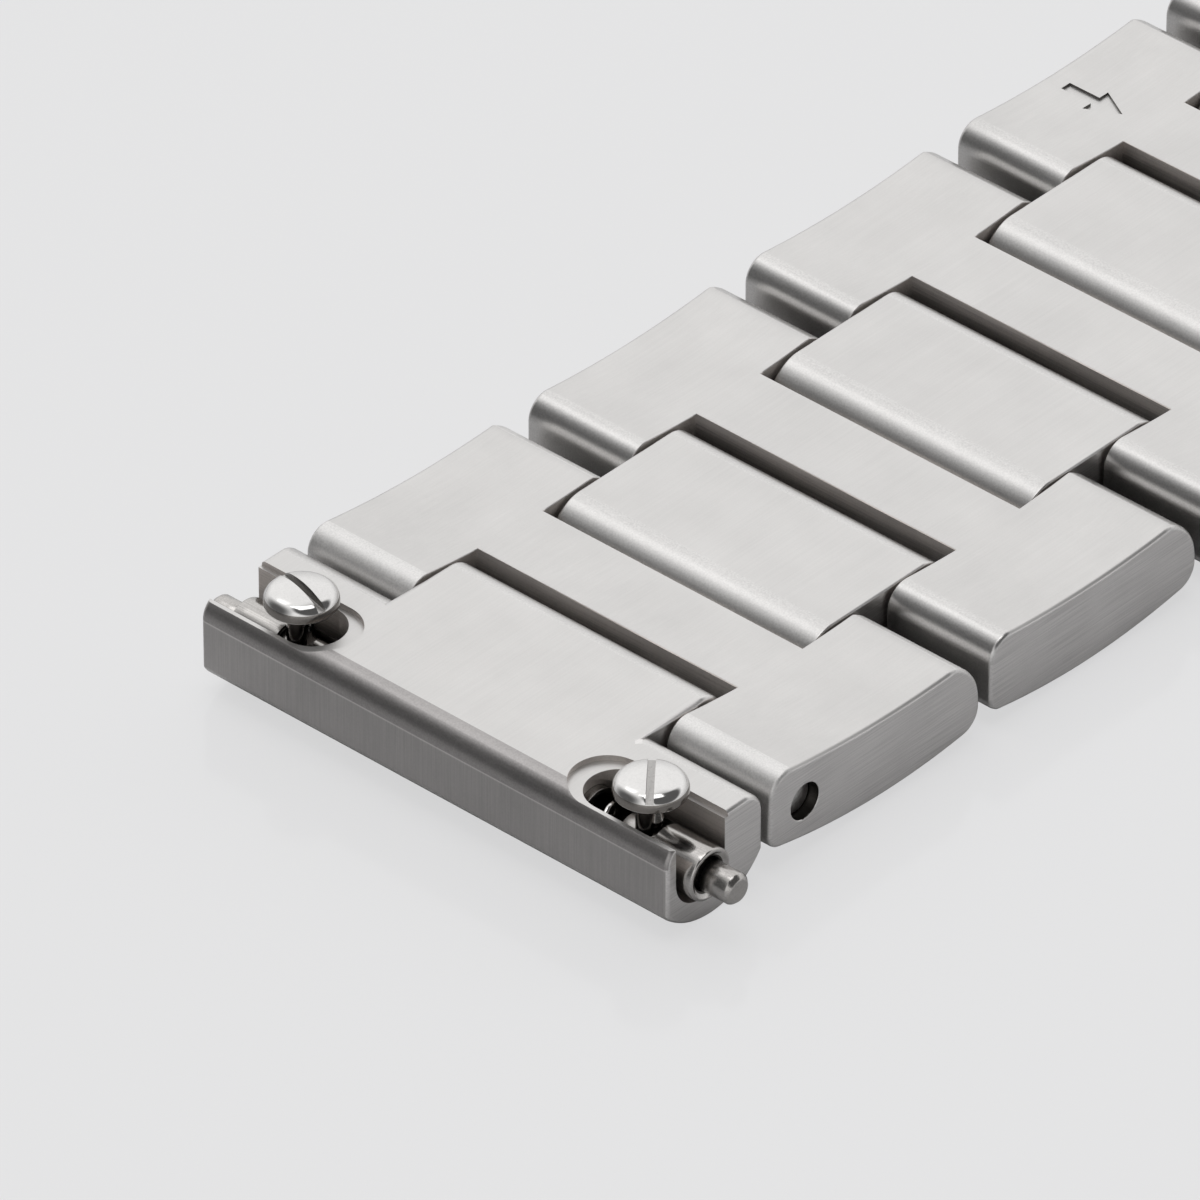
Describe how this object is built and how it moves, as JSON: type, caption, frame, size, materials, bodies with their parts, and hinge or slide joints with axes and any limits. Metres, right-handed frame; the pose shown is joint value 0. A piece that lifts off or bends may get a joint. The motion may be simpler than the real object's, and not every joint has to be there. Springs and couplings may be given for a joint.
{
  "type": "link watch bracelet",
  "caption": "Steel link bracelet with H-shaped links round narrower centre links, quick-release end links with sprung lug pins, and a folding clasp with two push buttons.",
  "frame": {"origin": "under the middle of the closed clasp, on the surface that the outer faces lie on", "axes": "+X across the band, +Y along it towards half b, +Z towards the wrist side; half a, the pictured one, lies towards -Y, and left and right in half b's names are as seen with half b turned round to where half a is"},
  "size_m": [0.0232, 0.1486, 0.0048],
  "materials": {
    "clasp_blades": "lengthwise brushing",
    "catch": "pressed sheet",
    "clasp_pins": "polished ends",
    "clasp_cover": "satin outside, fine satin inside",
    "springs": "drawn wire",
    "buttons": "satin",
    "links": "satin brushed faces with finely blasted rounded edges",
    "link_pins": "turned",
    "centre_links": "satin",
    "end_links": "satin inner face, upright brushing on the front face",
    "bar_tubes": "drawn tube with a worn polish",
    "plungers": "polished",
    "knobs": "polished crown"
  },
  "bodies": {
    "clasp_base": {"clasp_base_blade": "clasp_blades", "catch_plate": "catch", "catch_rivets": "catch", "clasp_base_pin": "clasp_pins"},
    "clasp_middle": {"clasp_middle_blade": "clasp_blades"},
    "clasp_cover": {"clasp_cover": "clasp_cover", "clasp_cover_pin": "clasp_pins", "button_spring_left": "springs", "button_spring_right": "springs"},
    "button_left": {"button_left": "buttons"},
    "button_right": {"button_right": "buttons"},
    "link_5_a": {"link_5_a": "links", "link_pins_5_a": "link_pins"},
    "centre_link_4_a": {"centre_link_4_a": "centre_links"},
    "link_4_a": {"link_4_a": "links", "link_pins_4_a": "link_pins"},
    "centre_link_3_a": {"centre_link_3_a": "centre_links"},
    "link_3_a": {"link_3_a": "links", "link_pins_3_a": "link_pins"},
    "centre_link_2_a": {"centre_link_2_a": "centre_links"},
    "link_2_a": {"link_2_a": "links", "link_pins_2_a": "link_pins"},
    "centre_link_1_a": {"centre_link_1_a": "centre_links"},
    "link_1_a": {"link_1_a": "links", "link_pins_1_a": "link_pins"},
    "end_link_a": {"end_link_a": "end_links", "bar_tube_a": "bar_tubes", "bar_spring_a": "springs"},
    "plunger_left_a": {"plunger_left_a": "plungers", "knob_left_a": "knobs"},
    "plunger_right_a": {"plunger_right_a": "plungers", "knob_right_a": "knobs"},
    "link_5_b": {"link_5_b": "links", "link_pins_5_b": "link_pins"},
    "centre_link_4_b": {"centre_link_4_b": "centre_links"},
    "link_4_b": {"link_4_b": "links", "link_pins_4_b": "link_pins"},
    "centre_link_3_b": {"centre_link_3_b": "centre_links"},
    "link_3_b": {"link_3_b": "links", "link_pins_3_b": "link_pins"},
    "centre_link_2_b": {"centre_link_2_b": "centre_links"},
    "link_2_b": {"link_2_b": "links", "link_pins_2_b": "link_pins"},
    "centre_link_1_b": {"centre_link_1_b": "centre_links"},
    "link_1_b": {"link_1_b": "links", "link_pins_1_b": "link_pins"},
    "end_link_b": {"end_link_b": "end_links", "bar_tube_b": "bar_tubes", "bar_spring_b": "springs"},
    "plunger_left_b": {"plunger_left_b": "plungers", "knob_left_b": "knobs"},
    "plunger_right_b": {"plunger_right_b": "plungers", "knob_right_b": "knobs"}
  },
  "joints": [
    {"name": "middle_blade_fold", "type": "hinge", "parent": "clasp_base", "child": "clasp_middle", "pos_m": [0, -0.0142, 0.0029], "axis": [-1, 0, 0], "range_deg": [0, 145]},
    {"name": "cover_fold", "type": "hinge", "parent": "clasp_middle", "child": "clasp_cover", "pos_m": [0, 0.0133, 0.0021], "axis": [1, 0, 0], "range_deg": [0, 85]},
    {"name": "button_left_press", "type": "slide", "parent": "clasp_cover", "child": "button_left", "axis": [1, 0, 0], "range_m": [0, 0.0008], "stiffness_N_per_m": 300, "springref_m": -0.001, "deforming": ["button_spring_left"]},
    {"name": "button_right_press", "type": "slide", "parent": "clasp_cover", "child": "button_right", "axis": [-1, 0, 0], "range_m": [0, 0.0008], "stiffness_N_per_m": 300, "springref_m": -0.001, "deforming": ["button_spring_right"]},
    {"name": "link_5_a_swing", "type": "hinge", "parent": "clasp_cover", "child": "link_5_a", "pos_m": [0, -0.01945, 0.00174], "axis": [-1, 0, 0], "range_deg": [-4, 18]},
    {"name": "centre_link_4_a_swing", "type": "hinge", "parent": "link_5_a", "child": "centre_link_4_a", "pos_m": [0, -0.02587, 0.00174], "axis": [-1, 0, 0], "range_deg": [-4, 18]},
    {"name": "link_4_a_swing", "type": "hinge", "parent": "centre_link_4_a", "child": "link_4_a", "pos_m": [0, -0.02995, 0.00174], "axis": [-1, 0, 0], "range_deg": [-4, 18]},
    {"name": "centre_link_3_a_swing", "type": "hinge", "parent": "link_4_a", "child": "centre_link_3_a", "pos_m": [0, -0.03637, 0.00174], "axis": [-1, 0, 0], "range_deg": [-4, 18]},
    {"name": "link_3_a_swing", "type": "hinge", "parent": "centre_link_3_a", "child": "link_3_a", "pos_m": [0, -0.04045, 0.00174], "axis": [-1, 0, 0], "range_deg": [-4, 18]},
    {"name": "centre_link_2_a_swing", "type": "hinge", "parent": "link_3_a", "child": "centre_link_2_a", "pos_m": [0, -0.04687, 0.00174], "axis": [-1, 0, 0], "range_deg": [-4, 18]},
    {"name": "link_2_a_swing", "type": "hinge", "parent": "centre_link_2_a", "child": "link_2_a", "pos_m": [0, -0.05095, 0.00174], "axis": [-1, 0, 0], "range_deg": [-4, 18]},
    {"name": "centre_link_1_a_swing", "type": "hinge", "parent": "link_2_a", "child": "centre_link_1_a", "pos_m": [0, -0.05737, 0.00174], "axis": [-1, 0, 0], "range_deg": [-4, 18]},
    {"name": "link_1_a_swing", "type": "hinge", "parent": "centre_link_1_a", "child": "link_1_a", "pos_m": [0, -0.06145, 0.00174], "axis": [-1, 0, 0], "range_deg": [-4, 18]},
    {"name": "end_link_a_swing", "type": "hinge", "parent": "link_1_a", "child": "end_link_a", "pos_m": [0, -0.06786, 0.00202], "axis": [-1, 0, 0], "range_deg": [-4, 18]},
    {"name": "knob_left_a_pull", "type": "slide", "parent": "end_link_a", "child": "plunger_left_a", "axis": [1, 0, 0], "range_m": [0, 0.0011], "stiffness_N_per_m": 400, "springref_m": -0.002, "deforming": ["bar_spring_a"]},
    {"name": "knob_right_a_pull", "type": "slide", "parent": "end_link_a", "child": "plunger_right_a", "axis": [-1, 0, 0], "range_m": [0, 0.0016], "stiffness_N_per_m": 400, "springref_m": -0.002, "deforming": ["bar_spring_a"]},
    {"name": "link_5_b_swing", "type": "hinge", "parent": "clasp_base", "child": "link_5_b", "pos_m": [0, 0.01945, 0.00174], "axis": [1, 0, 0], "range_deg": [-4, 18]},
    {"name": "centre_link_4_b_swing", "type": "hinge", "parent": "link_5_b", "child": "centre_link_4_b", "pos_m": [0, 0.02587, 0.00174], "axis": [1, 0, 0], "range_deg": [-4, 18]},
    {"name": "link_4_b_swing", "type": "hinge", "parent": "centre_link_4_b", "child": "link_4_b", "pos_m": [0, 0.02995, 0.00174], "axis": [1, 0, 0], "range_deg": [-4, 18]},
    {"name": "centre_link_3_b_swing", "type": "hinge", "parent": "link_4_b", "child": "centre_link_3_b", "pos_m": [0, 0.03637, 0.00174], "axis": [1, 0, 0], "range_deg": [-4, 18]},
    {"name": "link_3_b_swing", "type": "hinge", "parent": "centre_link_3_b", "child": "link_3_b", "pos_m": [0, 0.04045, 0.00174], "axis": [1, 0, 0], "range_deg": [-4, 18]},
    {"name": "centre_link_2_b_swing", "type": "hinge", "parent": "link_3_b", "child": "centre_link_2_b", "pos_m": [0, 0.04687, 0.00174], "axis": [1, 0, 0], "range_deg": [-4, 18]},
    {"name": "link_2_b_swing", "type": "hinge", "parent": "centre_link_2_b", "child": "link_2_b", "pos_m": [0, 0.05095, 0.00174], "axis": [1, 0, 0], "range_deg": [-4, 18]},
    {"name": "centre_link_1_b_swing", "type": "hinge", "parent": "link_2_b", "child": "centre_link_1_b", "pos_m": [0, 0.05737, 0.00174], "axis": [1, 0, 0], "range_deg": [-4, 18]},
    {"name": "link_1_b_swing", "type": "hinge", "parent": "centre_link_1_b", "child": "link_1_b", "pos_m": [0, 0.06145, 0.00174], "axis": [1, 0, 0], "range_deg": [-4, 18]},
    {"name": "end_link_b_swing", "type": "hinge", "parent": "link_1_b", "child": "end_link_b", "pos_m": [0, 0.06786, 0.00202], "axis": [1, 0, 0], "range_deg": [-4, 18]},
    {"name": "knob_left_b_pull", "type": "slide", "parent": "end_link_b", "child": "plunger_left_b", "axis": [-1, 0, 0], "range_m": [0, 0.0011], "stiffness_N_per_m": 400, "springref_m": -0.002, "deforming": ["bar_spring_b"]},
    {"name": "knob_right_b_pull", "type": "slide", "parent": "end_link_b", "child": "plunger_right_b", "axis": [1, 0, 0], "range_m": [0, 0.0016], "stiffness_N_per_m": 400, "springref_m": -0.002, "deforming": ["bar_spring_b"]}
  ]
}
